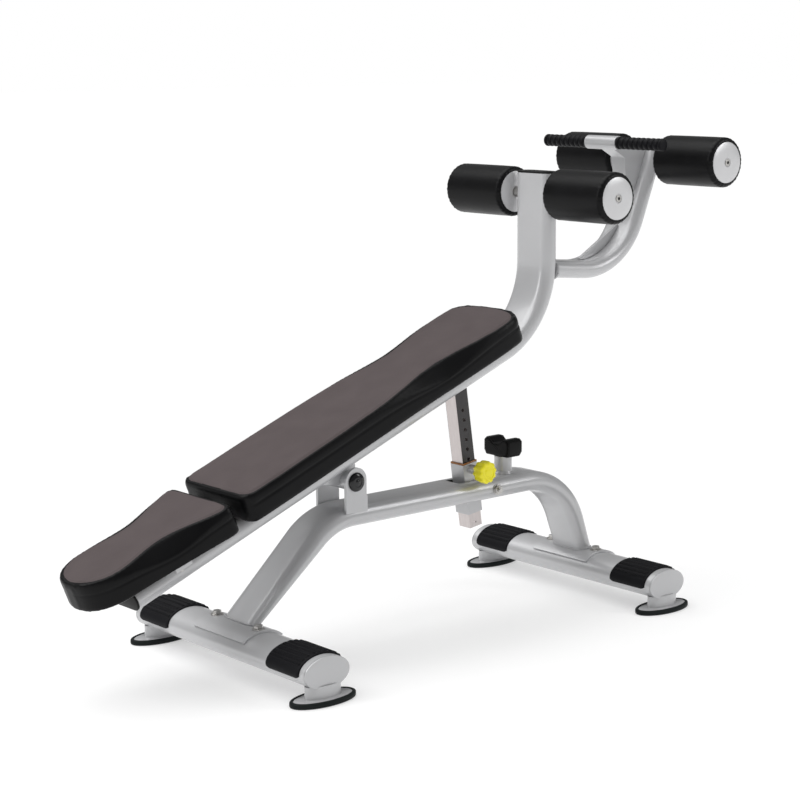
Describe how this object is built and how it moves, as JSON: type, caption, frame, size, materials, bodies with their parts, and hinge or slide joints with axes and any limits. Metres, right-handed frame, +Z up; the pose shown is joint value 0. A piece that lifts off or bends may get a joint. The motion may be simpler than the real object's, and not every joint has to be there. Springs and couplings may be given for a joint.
{
  "type": "decline sit up bench",
  "caption": "Adjustable decline sit up bench: padded sloping boom on a bent tube base, with foam knee and ankle rollers, a hand bar and a sliding pin-locked adjusting post.",
  "frame": {"origin": "on the floor, under the middle of the bench's length and width", "axes": "+X towards the leg rollers, +Y to the side away from the pull pin, +Z up"},
  "size_m": [1.866, 0.7174, 1.186],
  "materials": {
    "silver_paint": "gloss",
    "steel": "satin",
    "black_rubber": "matte",
    "black_cap": "satin",
    "black_gloss": "gloss",
    "grip_rubber": "satin",
    "roller_vinyl": "satin",
    "pad_vinyl": "satin",
    "pad_board": "matte",
    "yellow_plastic": "satin",
    "amber_plastic": "satin"
  },
  "bodies": {
    "base": {"front_crossbar": "silver_paint", "front_saddle_plate": "silver_paint", "front_left_end_plate": "silver_paint", "front_left_tread": "black_rubber", "front_left_foot_stub": "silver_paint", "front_left_rubber_foot": "black_rubber", "front_right_end_plate": "silver_paint", "front_right_tread": "black_rubber", "front_right_foot_stub": "silver_paint", "front_right_rubber_foot": "black_rubber", "rear_crossbar": "silver_paint", "rear_saddle_plate": "silver_paint", "rear_left_end_plate": "silver_paint", "rear_left_tread": "black_rubber", "rear_left_foot_stub": "silver_paint", "rear_left_rubber_foot": "black_rubber", "rear_right_end_plate": "silver_paint", "rear_right_tread": "black_rubber", "rear_right_foot_stub": "silver_paint", "rear_right_rubber_foot": "black_rubber", "base_tube": "silver_paint", "left_pivot_ear": "silver_paint", "left_pivot_cap": "black_gloss", "right_pivot_ear": "silver_paint", "right_pivot_cap": "black_gloss", "pivot_pin": "steel", "stop_stub": "silver_paint", "stop_block": "black_rubber", "swivel_bolt": "steel"},
    "boom": {"boom_tube": "silver_paint", "post_cap": "black_cap", "boom_end_cap": "black_cap", "pivot_tube": "silver_paint", "pivot_hanger": "silver_paint", "back_pad_board": "pad_board", "back_pad": "pad_vinyl", "head_pad_board": "pad_board", "head_pad": "pad_vinyl", "head_pad_strap": "silver_paint", "lower_pad_strap": "silver_paint", "upper_pad_strap": "silver_paint", "ankle_arm": "silver_paint", "arm_gusset": "silver_paint", "handle_stem": "silver_paint", "handle_tube": "steel", "left_grip": "grip_rubber", "right_grip": "grip_rubber", "knee_axle": "steel", "ankle_axle": "steel", "link_pin": "steel"},
    "post": {"adjusting_post": "steel"},
    "sleeve": {"adjusting_sleeve": "silver_paint", "sleeve_bush": "amber_plastic", "pin_spring": "steel"},
    "pin": {"pull_pin": "steel", "pull_knob": "yellow_plastic"},
    "knee_left_roller_body": {"knee_left_roller": "roller_vinyl"},
    "knee_right_roller_body": {"knee_right_roller": "roller_vinyl"},
    "ankle_left_roller_body": {"ankle_left_roller": "roller_vinyl"},
    "ankle_right_roller_body": {"ankle_right_roller": "roller_vinyl"}
  },
  "joints": [
    {"name": "boom_tilt", "type": "hinge", "parent": "base", "child": "boom", "pos_m": [-0.17885, 0, 0.404], "axis": [0, -1, 0], "range_deg": [-20.66, 3.44]},
    {"name": "sleeve_swivel", "type": "hinge", "parent": "base", "child": "sleeve", "pos_m": [0.27714, 0, 0.31903], "axis": [0, -1, 0], "range_deg": [-10.3, 1.8]},
    {"name": "post_slide", "type": "slide", "parent": "sleeve", "child": "post", "axis": [-0.1461, 0, 0.9893], "range_m": [-0.1532, 0.0256]},
    {"name": "pin_pull", "type": "slide", "parent": "sleeve", "child": "pin", "axis": [0, -1, 0], "range_m": [-0.008, 0]},
    {"name": "knee_left_spin", "type": "hinge", "parent": "boom", "child": "knee_left_roller_body", "pos_m": [0.46815, 0.178, 1.049], "axis": [0, 1, 0], "continuous": true},
    {"name": "knee_right_spin", "type": "hinge", "parent": "boom", "child": "knee_right_roller_body", "pos_m": [0.46815, -0.178, 1.049], "axis": [0, 1, 0], "continuous": true},
    {"name": "ankle_left_spin", "type": "hinge", "parent": "boom", "child": "ankle_left_roller_body", "pos_m": [0.86915, 0.178, 1.12], "axis": [0, 1, 0], "continuous": true},
    {"name": "ankle_right_spin", "type": "hinge", "parent": "boom", "child": "ankle_right_roller_body", "pos_m": [0.86915, -0.178, 1.12], "axis": [0, 1, 0], "continuous": true}
  ],
  "couplings": [
    {"joint": "sleeve_swivel", "follows": "boom_tilt", "ratio": 0.4904},
    {"joint": "post_slide", "follows": "boom_tilt", "m_per_rad": 0.4227}
  ]
}
